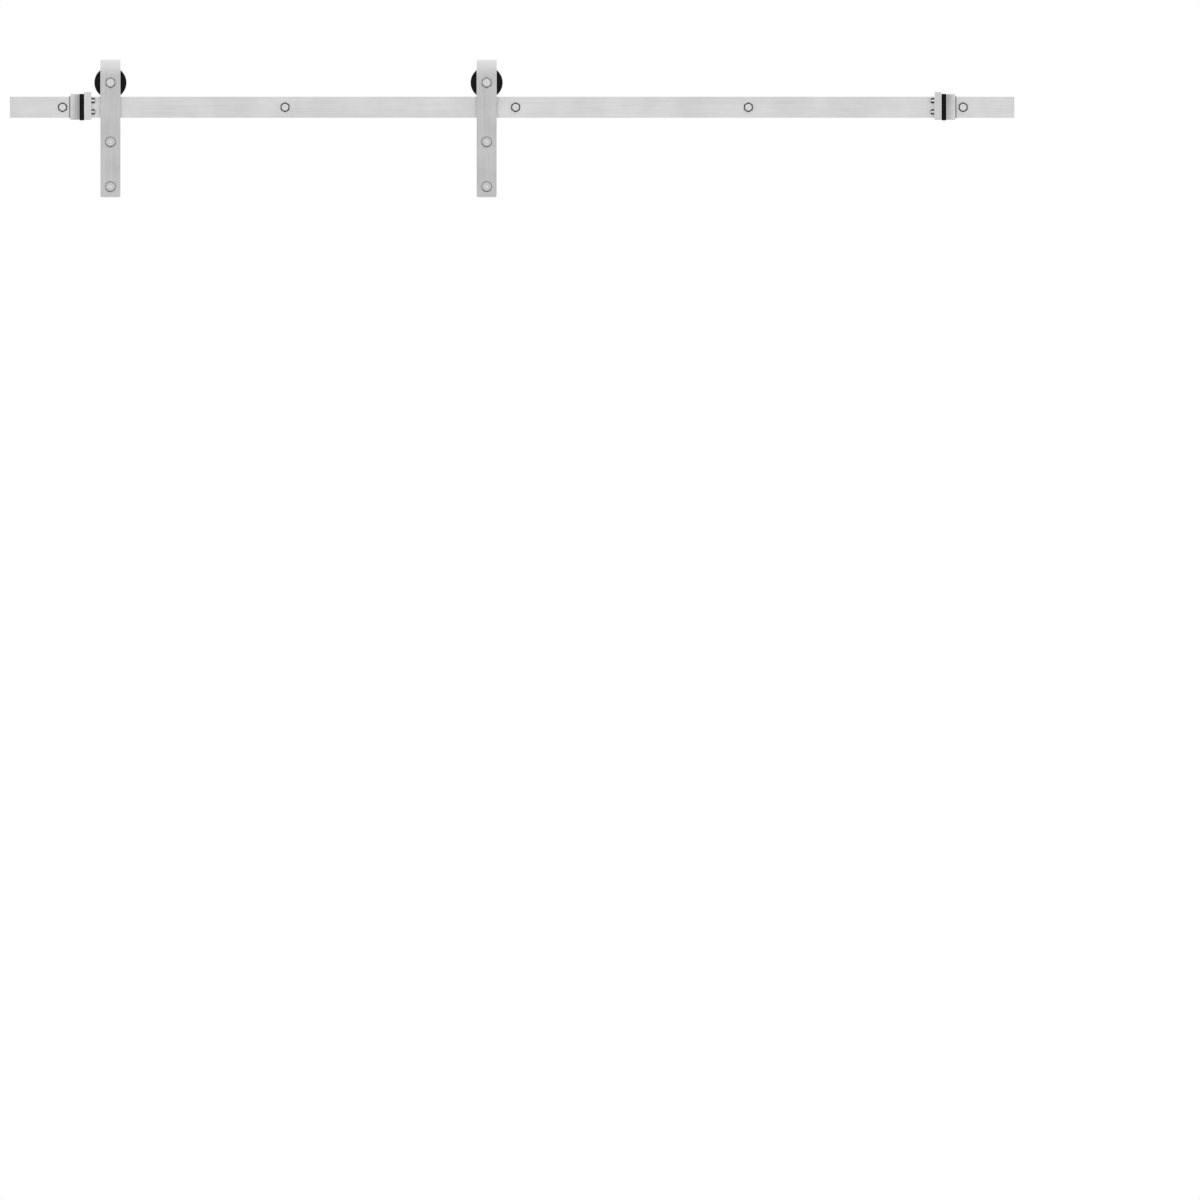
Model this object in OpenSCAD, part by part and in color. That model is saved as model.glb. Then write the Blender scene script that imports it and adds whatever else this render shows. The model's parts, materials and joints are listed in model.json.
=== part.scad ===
// Sliding barn door hardware: a flat rail on stand-off spacers, two strap hangers with grooved rollers
// that run on the rail's top edge, and a cushioned end stop at each end.
// X runs along the rail, -Y points out of the wall into the room and +Z is up. The origin is where the
// axis of the centre wall screw crosses the wall's face. All sizes are in millimetres.

/* [Rail] */
// Length of the rail
rail_len = 2000; // [1600:10:3000]
// Height of the rail
rail_h = 42; // [36:0.5:60]
// Thickness of the rail
rail_t = 6; // [5:0.5:8]
// How far the middle of the rail lies to the right of the centre wall screw
rail_middle_x = -7; // [-40:1:40]
// Distance from the left end of the rail to its first wall screw
left_end_margin = 105; // [60:1:200]
// Distance from the right end of the rail to its last wall screw
right_end_margin = 102; // [60:1:200]
// Shift of the second wall screw from the middle of its span, to meet a stud
left_stud_shift = -8; // [-60:1:60]
// Shift of the fourth wall screw from the middle of its span, to meet a stud
right_stud_shift = 18; // [-60:1:60]
// Distance from the wall to the back of the rail
standoff = 35; // [30:1:60]
// Bevel along the edges of the rail
rail_bevel = 0.6; // [0.2:0.1:1]

/* [Wall screws] */
// Diameter of the plain shank of a wall screw
lag_shank_d = 10; // [8:0.5:12]
// Diameter over the thread of a wall screw
lag_thread_d = 9.5; // [7:0.5:11.5]
// Depth of a wall screw in the wall, with its point
lag_depth = 60; // [40:1:90]
// Length of the point of a wall screw
lag_point_len = 9; // [5:0.5:12]
// Size of the wall screw's head across its flats
lag_head_af = 17; // [13:0.5:19]
// Height of the wall screw's head
lag_head_h = 7; // [5:0.1:8]
// Diameter of the washer under the wall screw's head
lag_washer_d = 18; // [17:0.5:24]
// Thickness of that washer
lag_washer_t = 1.6; // [1:0.1:2.5]
// Outer diameter of a wall spacer
spacer_d = 22; // [18:0.5:34]

/* [Hangers] */
// Distance between the two hangers
hanger_pitch = 749; // [400:1:900]
// Gap between the left hanger's strap and the left stop when the door is shut
rest_gap = 11; // [2:0.5:60]
// Width of a strap
strap_w = 40; // [34:0.5:60]
// Thickness of a strap
strap_t = 6; // [5:0.5:8]
// Inner radius of the strap's bend over the roller
bend_r = 15; // [14:0.5:20]
// Gap between the roller's rim and the top of the strap's bend
bend_gap = 8; // [6:0.5:40]
// Length of the strap below the axle
strap_drop = 228; // [180:1:320]
// Radius of the strap's lower corners
strap_corner_r = 3; // [1:0.5:8]
// Height of the lower door screw above the strap's bottom
door_screw_margin = 21; // [14:0.5:40]
// Distance between the two door screws
door_screw_pitch = 89; // [50:0.5:120]

/* [Rollers] */
// Diameter of the roller where it rolls on the rail
tread_d = 55.4; // [50:0.2:80]
// Depth of the roller's groove
groove_depth = 4.3; // [3:0.1:6]
// Width of the roller
roller_w = 22; // [20:0.5:24]
// Side play between the rail and the groove's floor, each side
groove_play = 0.8; // [0.5:0.1:1]
// Widening of the groove at its mouth, each side
groove_flare = 1.6; // [0.5:0.1:2]
// Diameter of the axle bolt's shank
axle_d = 12; // [10:0.5:12]
// Size of the axle bolt's head and nut across their flats
axle_head_af = 19; // [17:0.5:22]
// Height of the axle bolt's head
axle_head_h = 7.5; // [6:0.1:9]
// Height of the axle nut
axle_nut_h = 6; // [5:0.1:10]
// Outer diameter of the ball bearing
bearing_d = 32; // [32:0.5:36]
// Width of the ball bearing
bearing_w = 10; // [9:0.5:12]
// Diameter of a bearing ball
ball_d = 5.95; // [5:0.05:6.2]
// Number of balls in a bearing
ball_count = 7; // [5:1:8]

/* [Door screws] */
// Diameter of the plain shank of a door screw
door_shank_d = 10; // [8:0.5:12]
// Diameter over the thread of a door screw
door_thread_d = 9.5; // [7:0.5:11.5]
// Depth of a door screw in the door, with its point
door_screw_depth = 34; // [20:1:60]
// Length of the point of a door screw
door_point_len = 5; // [3:0.5:8]
// Diameter of the door screw's round head
door_head_d = 21; // [16:0.5:26]
// Height of the door screw's head
door_head_h = 6; // [4:0.1:9]
// Size of the hexagon socket across its flats
door_socket_af = 8; // [4:0.5:10]

/* [Stops] */
// Clear distance from a wall screw's head to the stop beside it
stop_gap = 4; // [2:0.5:40]
// Length of the stop's clamp block along the rail
block_len = 18.5; // [14:0.5:30]
// Length of the rubber buffer along the rail
buffer_len = 9; // [4:0.5:14]
// Thickness of the strike plate
strike_len = 14.5; // [6:0.5:18]
// Depth of the stop in front of the rail and behind it
stop_cheek = 18; // [16:0.5:24]
// Height of the clamp block over the rail
block_over = 5.6; // [5.2:0.1:10]
// Reach of the clamp block under the rail
block_under = 3.8; // [3.4:0.1:8]
// Extra height of the strike plate over the clamp block
strike_over = 4; // [0:0.5:8]
// Extra reach of the rubber buffer under the clamp block
buffer_under = 1.4; // [0:0.1:3]
// Thickness of the rubber sleeve between a stop and the rail
sleeve_t = 1; // [0.8:0.1:1.6]
// Length of sleeve that shows at the stop's outer end
sleeve_lip = 1.5; // [0.5:0.1:3]
// Diameter of the stop's cap screws
cap_screw_d = 6; // [5:0.5:8]
// Diameter of the cap screw's head
cap_head_d = 10; // [8.5:0.5:12]
// Height of the cap screw's head
cap_head_h = 7; // [4:0.5:8]
// Distance between a stop's two cap screws
cap_screw_pitch = 22.5; // [18:0.5:26]
// Diameter of the stop's two set screws
set_screw_d = 5; // [4:0.5:6]

/* [Fits] */
// Clearance of a screw in its hole, on the radius
hole_play = 0.25; // [0.1:0.05:0.6]
// Clearance of a pressed or tapped fit, on the radius
close_play = 0.03; // [0.01:0.01:0.08]
// Clearance between a bearing's rings and its balls
ball_play = 0.3; // [0.2:0.05:0.4]
// Clearance between a roller and the rail's top edge
tread_play = 0.3; // [0.1:0.1:0.5]

/* [Hidden] */

$fn = 96;
HEX = 6;
BALL_FN = 48;
over = 1;
STEEL = "lightsteelblue";
BRIGHT = "silver";
BLACK = "dimgray";

// Along the rail
rail_left = rail_middle_x - rail_len / 2;
rail_right = rail_middle_x + rail_len / 2;
first_hole = rail_left + left_end_margin;
last_hole = rail_right - right_end_margin;
wall_holes = [first_hole, first_hole / 2 + left_stud_shift, 0, last_hole / 2 + right_stud_shift, last_hole];
lag_head_r = lag_head_af / sqrt(3);
left_stop_x = first_hole + lag_head_r + stop_gap;
right_stop_x = last_hole - lag_head_r - stop_gap;
block_start = sleeve_lip;
buffer_start = block_start + block_len;
strike_start = buffer_start + buffer_len;
strike_face = strike_start + strike_len;
stop_len = strike_face + cap_head_h;
left_hanger_x = left_stop_x + stop_len + rest_gap + strap_w / 2;
right_hanger_x = left_hanger_x + hanger_pitch;

// Out from the wall
rail_back = -standoff;
rail_front = rail_back - rail_t;
rail_mid = rail_back - rail_t / 2;
strap_back = rail_mid - bend_r;
strap_front = strap_back - strap_t;
rear_leg_front = rail_mid + bend_r;
rear_leg_back = rear_leg_front + strap_t;
lag_hole_r = lag_shank_d / 2 + hole_play;

// Up from the rail's centre line
rail_top = rail_h / 2;
axle_z = rail_top + tread_d / 2 + tread_play;
strap_bottom = axle_z - strap_drop;
lower_screw_z = strap_bottom + door_screw_margin;
upper_screw_z = lower_screw_z + door_screw_pitch;

// Roller and bearing
rim_r = tread_d / 2 + groove_depth;
bend_z = axle_z + rim_r + bend_gap - bend_r;
rim_bevel = 0.8;
groove_half = rail_t / 2 + groove_play;
bearing_r = bearing_d / 2;
shoulder_lip = 2.5;
shoulder_r = bearing_r - shoulder_lip;
shoulder_w = (roller_w - bearing_w) / 2;
lead_in = 0.4;
bush_wall = 2.7;
bush_r = axle_d / 2 + bush_wall;
bush_seat = 0.5;
bush_len = bend_r + bush_seat - bearing_w / 2;
race_wall = 2.6;
inner_race_r = axle_d / 2 + race_wall;
outer_race_r = bearing_r - race_wall;
pitch_r = (inner_race_r + outer_race_r) / 2;
race_groove_r = ball_d / 2 + ball_play;
shield_t = 0.5;
shield_sink = 0.2;
shield_bite = 0.6;
shield_r = outer_race_r + shield_bite;
cage_half_t = 0.8;
cage_play = 0.6;
cage_w = bearing_w - 2 * (shield_sink + shield_t + cage_play);
axle_washer_r = 12;
axle_washer_t = 1.5;
axle_tail = 1.5;
axle_relief = 0.4;
axle_thread_r = axle_d / 2 - axle_relief;

// Stops
window_half_h = rail_top + sleeve_t;
window_half_w = rail_t / 2 + sleeve_t;
stop_front = rail_front - stop_cheek;
rear_cheek_cut = 5;
stop_back = rail_back + stop_cheek - rear_cheek_cut;
block_top = rail_top + block_over;
block_bottom = -rail_top - block_under;
strike_top = block_top + strike_over;
buffer_bottom = block_bottom - buffer_under;
cap_screw_forward = 2;
cap_screw_y = rail_front - sleeve_t - (stop_cheek - sleeve_t) / 2 - cap_screw_forward;
cap_screw_drop = 1;
cap_screw_mid_z = (strike_top + block_bottom) / 2 - cap_screw_drop;
cap_screw_depth = 12;
stop_bevel = 0.8;
set_screw_shares = [0.28, 0.72];

// The cutting shapes below run past the faces that they cut by "over".
// A rectangle centred on the origin with its corners cut at 45 degrees
module bevelled_rect(w, h, bevel) {
    polygon([
        [-w / 2 + bevel, -h / 2], [w / 2 - bevel, -h / 2], [w / 2, -h / 2 + bevel], [w / 2, h / 2 - bevel],
        [w / 2 - bevel, h / 2], [-w / 2 + bevel, h / 2], [-w / 2, h / 2 - bevel], [-w / 2, -h / 2 + bevel]
    ]);
}

// A shape of revolution about Y: each point of the outline is [radius, y]
module turned(outline) {
    rotate([-90, 0, 0])
        rotate_extrude()
            polygon(outline);
}

// A round bar along Y from y0 to y1
module bar_y(r, y0, y1) {
    translate([0, y0, 0])
        rotate([-90, 0, 0])
            cylinder(r = r, h = y1 - y0);
}

// A ring along Y from y0 to y1
module ring_y(r_out, r_in, y0, y1) {
    turned([[r_in, y0], [r_out, y0], [r_out, y1], [r_in, y1]]);
}

// A flat outline in X and Z made solid from y0 to y1
module plate_y(y0, y1) {
    translate([0, y1, 0])
        rotate([90, 0, 0])
            linear_extrude(height = y1 - y0)
                children();
}

// A flat outline in Y and Z made solid from x0 to x1
module plate_x(x0, x1) {
    translate([x0, 0, 0])
        rotate([90, 0, 90])
            linear_extrude(height = x1 - x0)
                children();
}

// A hexagon head or nut along Y, its corners up and down, bevelled round at the ends that are asked for
module hex_y(af, y0, y1, front_bevel = true, back_bevel = false) {
    corner_r = af / sqrt(3);
    bevel_share = 0.6;
    bevel_rise = (corner_r - af / 2) * bevel_share;
    face_inset = 0.2;
    face_r = af / 2 - face_inset;
    front = front_bevel ? bevel_rise : 0;
    back = back_bevel ? bevel_rise : 0;
    intersection() {
        plate_y(y0, y1)
            rotate(90)
                circle(r = corner_r, $fn = HEX);
        turned([
            [0, y0], [front_bevel ? face_r : corner_r, y0], [corner_r, y0 + front],
            [corner_r, y1 - back], [back_bevel ? face_r : corner_r, y1], [0, y1]
        ]);
    }
}

module rail() {
    color(BRIGHT)
        difference() {
            plate_x(rail_left, rail_right)
                translate([rail_mid, 0])
                    bevelled_rect(rail_t, rail_h, rail_bevel);
            for (x = wall_holes)
                translate([x, 0, 0])
                    bar_y(lag_hole_r, rail_front - over, rail_back + over);
        }
}

module wall_screw(i) {
    washer_front = rail_front - lag_washer_t;
    thread_end = lag_depth - lag_point_len;
    tip_r = 0.6;
    color(STEEL)
        translate([wall_holes[i], 0, 0]) {
            hex_y(lag_head_af, washer_front - lag_head_h, washer_front);
            bar_y(lag_shank_d / 2, washer_front, 0);
            bar_y(lag_thread_d / 2, 0, thread_end);
            turned([[0, thread_end], [lag_thread_d / 2, thread_end], [tip_r, lag_depth], [0, lag_depth]]);
        }
}

module wall_washer(i) {
    color(STEEL)
        translate([wall_holes[i], 0, 0])
            ring_y(lag_washer_d / 2, lag_hole_r, rail_front - lag_washer_t, rail_front);
}

module wall_spacer(i) {
    bevel = 0.8;
    color(BRIGHT)
        translate([wall_holes[i], 0, 0])
            turned([
                [lag_hole_r, rail_back], [spacer_d / 2 - bevel, rail_back], [spacer_d / 2, rail_back + bevel],
                [spacer_d / 2, -bevel], [spacer_d / 2 - bevel, 0], [lag_hole_r, 0]
            ]);
}

// Places a stop's pieces: they are drawn from x = 0, the stop's outer end, towards the middle of the rail
module at_stop(side) {
    if (side == "left")
        translate([left_stop_x, 0, 0])
            children();
    else
        translate([right_stop_x, 0, 0])
            mirror([1, 0, 0])
                children();
}

// A slice of a stop that goes round the rail with the sleeve between them
module stop_slice(x0, x1, bottom, top, grip) {
    difference() {
        plate_x(x0, x1)
            translate([(stop_front + stop_back) / 2, (bottom + top) / 2])
                bevelled_rect(stop_back - stop_front, top - bottom, stop_bevel);
        plate_x(x0 - over, x1 + over)
            translate([rail_mid, 0])
                square([2 * (window_half_w + grip), 2 * (window_half_h + grip)], center = true);
    }
}

module at_cap_screws() {
    for (side = [-1, 1])
        translate([0, cap_screw_y, cap_screw_mid_z + side * cap_screw_pitch / 2])
            children();
}

module bar_x(r, x0, x1) {
    translate([x0, 0, 0])
        rotate([0, 90, 0])
            cylinder(r = r, h = x1 - x0);
}

module at_set_screws(z0) {
    for (share = set_screw_shares)
        translate([block_start + block_len * share, rail_mid, z0])
            children();
}

module stop_block(side) {
    color(BRIGHT)
        at_stop(side)
            difference() {
                stop_slice(block_start, buffer_start, block_bottom, block_top, close_play);
                at_cap_screws()
                    bar_x(cap_screw_d / 2 + close_play, buffer_start - cap_screw_depth - over, buffer_start + over);
                at_set_screws(0)
                    cylinder(r = set_screw_d / 2 + close_play, h = block_top + over);
            }
}

module stop_buffer(side) {
    color(BLACK)
        at_stop(side)
            difference() {
                stop_slice(buffer_start, strike_start, buffer_bottom, block_top, close_play);
                at_cap_screws()
                    bar_x(cap_screw_d / 2 + hole_play, buffer_start - over, strike_start + over);
            }
}

module stop_strike(side) {
    color(BRIGHT)
        at_stop(side)
            difference() {
                stop_slice(strike_start, strike_face, block_bottom, strike_top, close_play);
                at_cap_screws()
                    bar_x(cap_screw_d / 2 + hole_play, strike_start - over, strike_face + over);
            }
}

module stop_sleeve(side) {
    color(BLACK)
        at_stop(side)
            difference() {
                plate_x(0, strike_face)
                    translate([rail_mid, 0])
                        square([2 * window_half_w, 2 * window_half_h], center = true);
                plate_x(-over, strike_face + over)
                    translate([rail_mid, 0])
                        square([rail_t + 2 * close_play, rail_h + 2 * close_play], center = true);
                at_set_screws(0)
                    cylinder(r = set_screw_d / 2 + hole_play, h = window_half_h + over);
            }
}

module stop_cap_screws(side) {
    bevel = 0.5;
    head_end = strike_face + cap_head_h;
    socket_af = 5;
    socket_depth = 3.5;
    color(STEEL)
        at_stop(side)
            at_cap_screws()
                difference() {
                    union() {
                        bar_x(cap_screw_d / 2, buffer_start - cap_screw_depth, strike_face);
                        bar_x(cap_head_d / 2, strike_face, head_end - bevel);
                        translate([head_end - bevel, 0, 0])
                            rotate([0, 90, 0])
                                cylinder(r1 = cap_head_d / 2, r2 = cap_head_d / 2 - bevel, h = bevel);
                    }
                    translate([head_end - socket_depth, 0, 0])
                        rotate([0, 90, 0])
                            cylinder(r = socket_af / sqrt(3), h = socket_depth + over, $fn = HEX);
                }
}

module stop_set_screws(side) {
    socket_af = 2.5;
    socket_depth = 2.5;
    color(STEEL)
        at_stop(side)
            at_set_screws(rail_top)
                difference() {
                    cylinder(r = set_screw_d / 2, h = block_over);
                    translate([0, 0, block_over - socket_depth])
                        cylinder(r = socket_af / sqrt(3), h = socket_depth + over, $fn = HEX);
                }
}

function hanger_x(side) = side == "left" ? left_hanger_x : right_hanger_x;

module at_axle(side) {
    translate([hanger_x(side), 0, axle_z])
        children();
}

module strap(side) {
    color(BRIGHT)
        translate([hanger_x(side), 0, 0])
            difference() {
                union() {
                    plate_y(strap_front, strap_back)
                        front_leg_outline();
                    plate_x(-strap_w / 2, strap_w / 2)
                        bend_outline();
                    plate_y(rear_leg_front, rear_leg_back)
                        rear_leg_outline();
                }
                translate([0, 0, axle_z]) {
                    bar_y(axle_d / 2 + hole_play, strap_front - over, rear_leg_back + over);
                    bar_y(bush_r + hole_play, strap_back - bush_seat, rear_leg_front + bush_seat);
                }
                for (z = [upper_screw_z, lower_screw_z])
                    translate([0, 0, z])
                        bar_y(door_shank_d / 2 + hole_play, strap_front - over, strap_back + over);
            }
}

module front_leg_outline() {
    translate([-strap_w / 2, strap_bottom + strap_corner_r])
        square([strap_w, bend_z - strap_bottom - strap_corner_r]);
    translate([-strap_w / 2 + strap_corner_r, strap_bottom])
        square([strap_w - 2 * strap_corner_r, strap_corner_r]);
    for (x = [-strap_w / 2 + strap_corner_r, strap_w / 2 - strap_corner_r])
        translate([x, strap_bottom + strap_corner_r])
            circle(r = strap_corner_r);
}

module bend_outline() {
    outer_r = bend_r + strap_t;
    translate([rail_mid, bend_z])
        difference() {
            circle(r = outer_r);
            circle(r = bend_r);
            translate([-outer_r - over, -outer_r - over])
                square([2 * (outer_r + over), outer_r + over]);
        }
}

module rear_leg_outline() {
    translate([-strap_w / 2, axle_z])
        square([strap_w, bend_z - axle_z]);
    translate([0, axle_z])
        circle(r = strap_w / 2);
}

module axle_bolt(side) {
    tail_end = rear_leg_back + axle_washer_t + axle_nut_h + axle_tail;
    bevel = 0.8;
    color(STEEL)
        at_axle(side) {
            hex_y(axle_head_af, strap_front - axle_head_h, strap_front);
            bar_y(axle_d / 2, strap_front, rear_leg_back);
            turned([
                [0, rear_leg_back], [axle_thread_r, rear_leg_back], [axle_thread_r, tail_end - bevel],
                [axle_thread_r - bevel, tail_end], [0, tail_end]
            ]);
        }
}

module axle_washer(side) {
    color(STEEL)
        at_axle(side)
            ring_y(axle_washer_r, axle_d / 2 + hole_play, rear_leg_back, rear_leg_back + axle_washer_t);
}

module axle_nut(side) {
    nut_front = rear_leg_back + axle_washer_t;
    color(STEEL)
        at_axle(side)
            difference() {
                hex_y(axle_head_af, nut_front, nut_front + axle_nut_h, true, true);
                bar_y(axle_thread_r + close_play, nut_front - over, nut_front + axle_nut_h + over);
            }
}

// A bush fills the gap between the bearing's inner race and its seat in the strap
module bush(side, y0) {
    color(STEEL)
        at_axle(side)
            ring_y(bush_r, axle_d / 2 + close_play, y0, y0 + bush_len);
}

module inner_race(side) {
    half_w = bearing_w / 2;
    color(BRIGHT)
        at_axle(side)
            difference() {
                ring_y(inner_race_r, axle_d / 2 + close_play, rail_mid - half_w, rail_mid + half_w);
                ball_track();
            }
}

module outer_race(side) {
    half_w = bearing_w / 2;
    sink = shield_sink + shield_t;
    seat_r = shield_r + close_play;
    color(BRIGHT)
        at_axle(side)
            difference() {
                ring_y(bearing_r, outer_race_r, rail_mid - half_w, rail_mid + half_w);
                ball_track();
                bar_y(seat_r, rail_mid - half_w - over, rail_mid - half_w + sink);
                bar_y(seat_r, rail_mid + half_w - sink, rail_mid + half_w + over);
            }
}

// The groove that the balls run in
module ball_track() {
    translate([0, rail_mid, 0])
        rotate([90, 0, 0])
            rotate_extrude()
                translate([pitch_r, 0])
                    circle(r = race_groove_r, $fn = BALL_FN);
}

module bearing_shields(side) {
    half_w = bearing_w / 2;
    color(BLACK)
        at_axle(side)
            for (face = [-1, 1])
                translate([0, rail_mid + face * (half_w - shield_sink - shield_t / 2), 0])
                    ring_y(shield_r, inner_race_r + ball_play, -shield_t / 2, shield_t / 2);
}

module at_balls() {
    for (i = [0 : ball_count - 1])
        rotate([0, i * 360 / ball_count, 0])
            translate([pitch_r, rail_mid, 0])
                children();
}

module bearing_balls(side) {
    color(BRIGHT)
        at_axle(side)
            at_balls()
                sphere(d = ball_d, $fn = BALL_FN);
}

module ball_cage(side) {
    color("peru")
        at_axle(side)
            difference() {
                ring_y(
                    pitch_r + cage_half_t, pitch_r - cage_half_t,
                    rail_mid - cage_w / 2, rail_mid + cage_w / 2
                );
                at_balls()
                    bar_x(ball_d / 2 + 2 * close_play, -2 * cage_half_t, 2 * cage_half_t);
            }
}

module roller(side) {
    front = rail_mid - roller_w / 2;
    back = rail_mid + roller_w / 2;
    seat_r = bearing_r + close_play;
    color(BLACK)
        at_axle(side)
            turned([
                [seat_r + lead_in, front],
                [rim_r - rim_bevel, front],
                [rim_r, front + rim_bevel],
                [rim_r, rail_mid - groove_half - groove_flare],
                [tread_d / 2, rail_mid - groove_half],
                [tread_d / 2, rail_mid + groove_half],
                [rim_r, rail_mid + groove_half + groove_flare],
                [rim_r, back - rim_bevel],
                [rim_r - rim_bevel, back],
                [shoulder_r, back],
                [shoulder_r, back - shoulder_w],
                [seat_r, back - shoulder_w],
                [seat_r, front + shoulder_w],
                [seat_r + lead_in, front + shoulder_w - lead_in]
            ]);
}

module door_screw(side, z) {
    thread_end = strap_back + door_screw_depth - door_point_len;
    head_front = strap_front - door_head_h;
    dome_share = 0.45;
    dome = door_head_h * dome_share;
    tip_r = 0.6;
    flat_r = door_head_d / 2 - dome;
    socket_share = 0.6;
    socket_depth = door_head_h * socket_share;
    color(STEEL)
        translate([hanger_x(side), 0, z])
            difference() {
                union() {
                    turned([
                        [0, head_front], [flat_r, head_front],
                        for (a = [15 : 15 : 75])
                            [flat_r + dome * sin(a), head_front + dome * (1 - cos(a))],
                        [door_head_d / 2, head_front + dome], [door_head_d / 2, strap_front], [0, strap_front]
                    ]);
                    bar_y(door_shank_d / 2, strap_front, strap_back);
                    bar_y(door_thread_d / 2, strap_back, thread_end);
                    turned([
                        [0, thread_end], [door_thread_d / 2, thread_end],
                        [tip_r, thread_end + door_point_len], [0, thread_end + door_point_len]
                    ]);
                }
                plate_y(head_front - over, head_front + socket_depth)
                    rotate(90)
                        circle(r = door_socket_af / sqrt(3), $fn = HEX);
            }
}

rail();

wall_screw(0);  // wall_screw_1
wall_screw(1);  // wall_screw_2
wall_screw(2);  // wall_screw_3
wall_screw(3);  // wall_screw_4
wall_screw(4);  // wall_screw_5
wall_washer(0);  // wall_washer_1
wall_washer(1);  // wall_washer_2
wall_washer(2);  // wall_washer_3
wall_washer(3);  // wall_washer_4
wall_washer(4);  // wall_washer_5
wall_spacer(0);  // wall_spacer_1
wall_spacer(1);  // wall_spacer_2
wall_spacer(2);  // wall_spacer_3
wall_spacer(3);  // wall_spacer_4
wall_spacer(4);  // wall_spacer_5

stop_block("left");  // left_stop_block
stop_buffer("left");  // left_stop_buffer
stop_strike("left");  // left_stop_strike
stop_sleeve("left");  // left_stop_sleeve
stop_cap_screws("left");  // left_stop_cap_screws
stop_set_screws("left");  // left_stop_set_screws
stop_block("right");  // right_stop_block
stop_buffer("right");  // right_stop_buffer
stop_strike("right");  // right_stop_strike
stop_sleeve("right");  // right_stop_sleeve
stop_cap_screws("right");  // right_stop_cap_screws
stop_set_screws("right");  // right_stop_set_screws

strap("left");  // left_strap
axle_bolt("left");  // left_axle_bolt
axle_washer("left");  // left_axle_washer
axle_nut("left");  // left_axle_nut
bush("left", strap_back - bush_seat);  // left_front_bush
bush("left", rear_leg_front + bush_seat - bush_len);  // left_rear_bush
inner_race("left");  // left_inner_race
door_screw("left", upper_screw_z);  // left_door_screw_upper
door_screw("left", lower_screw_z);  // left_door_screw_lower
roller("left");  // left_roller
outer_race("left");  // left_outer_race
bearing_shields("left");  // left_bearing_shields
bearing_balls("left");  // left_bearing_balls
ball_cage("left");  // left_ball_cage

strap("right");  // right_strap
axle_bolt("right");  // right_axle_bolt
axle_washer("right");  // right_axle_washer
axle_nut("right");  // right_axle_nut
bush("right", strap_back - bush_seat);  // right_front_bush
bush("right", rear_leg_front + bush_seat - bush_len);  // right_rear_bush
inner_race("right");  // right_inner_race
door_screw("right", upper_screw_z);  // right_door_screw_upper
door_screw("right", lower_screw_z);  // right_door_screw_lower
roller("right");  // right_roller
outer_race("right");  // right_outer_race
bearing_shields("right");  // right_bearing_shields
bearing_balls("right");  // right_bearing_balls
ball_cage("right");  // right_ball_cage
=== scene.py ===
# %% [markdown]
# # Sliding barn door hardware
# The object is a flat rail that stands off the wall on spacers, two bent straps that hang a door from
# grooved rollers, and a cushioned stop at each end of the rail. Its sizes and joints come from a packed
# CAD model. This lesson makes its surfaces: every piece but the bearing balls and cage is modelled again
# with eased edges, threads and sockets, and every piece gets a finish made only of shader nodes.

# %% Load the frame
import json
import math

import bmesh
import bpy
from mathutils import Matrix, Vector


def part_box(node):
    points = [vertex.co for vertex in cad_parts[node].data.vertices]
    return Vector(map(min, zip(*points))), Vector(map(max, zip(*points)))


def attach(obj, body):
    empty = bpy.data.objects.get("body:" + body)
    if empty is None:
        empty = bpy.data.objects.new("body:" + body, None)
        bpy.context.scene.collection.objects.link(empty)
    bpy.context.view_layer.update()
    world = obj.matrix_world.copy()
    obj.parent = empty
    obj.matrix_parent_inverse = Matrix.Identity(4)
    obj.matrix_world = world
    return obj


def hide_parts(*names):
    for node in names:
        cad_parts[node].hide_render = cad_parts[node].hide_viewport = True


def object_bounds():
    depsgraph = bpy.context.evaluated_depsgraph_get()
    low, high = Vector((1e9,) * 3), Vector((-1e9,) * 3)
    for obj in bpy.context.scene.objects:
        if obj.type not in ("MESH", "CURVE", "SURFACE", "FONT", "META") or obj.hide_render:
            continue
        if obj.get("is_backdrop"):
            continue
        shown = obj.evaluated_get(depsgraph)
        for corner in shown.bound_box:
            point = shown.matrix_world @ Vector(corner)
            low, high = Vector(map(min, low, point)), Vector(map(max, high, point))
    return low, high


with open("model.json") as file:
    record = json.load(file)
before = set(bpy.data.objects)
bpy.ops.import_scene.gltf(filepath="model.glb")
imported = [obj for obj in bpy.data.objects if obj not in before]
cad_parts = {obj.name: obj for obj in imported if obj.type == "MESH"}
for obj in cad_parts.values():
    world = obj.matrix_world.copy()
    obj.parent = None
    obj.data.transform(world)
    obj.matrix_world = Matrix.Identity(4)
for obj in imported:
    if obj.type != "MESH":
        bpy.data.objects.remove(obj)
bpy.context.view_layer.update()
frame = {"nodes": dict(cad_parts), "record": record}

MM = 0.001
body_of_node = {
    node: body for body, nodes in frame["record"]["behaviour"]["bodies"].items() for node in nodes
}

# %% [markdown]
# ## Camera
# A drawing-like view straight at the wall shows a rail without perspective, so the camera is
# orthographic. It looks along +Y and frames the whole doorway, with the hardware along its top.

# %% Camera
VIEW_WIDTH = 2.389
VIEW_MIDDLE = Vector((0.168, -4.0, -0.981))
bpy.ops.object.camera_add(location=VIEW_MIDDLE, rotation=(math.radians(90), 0, 0))
camera = bpy.context.object
camera.data.type = "ORTHO"
camera.data.ortho_scale = VIEW_WIDTH
camera.data.clip_end = 60
bpy.context.scene.camera = camera
bpy.context.scene.view_settings.view_transform = "Standard"
print("camera looks along +Y and sees", VIEW_WIDTH, "m")

# %% [markdown]
# ## Shader maths as Python
# A finish is a small calculation: a mask times a tone plus a little noise. Wiring that by hand takes a
# node for each sign. This class wraps one socket, so that 1 - mask or tone * 0.5 adds the Math node
# itself, and node() adds any other kind of node.


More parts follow.
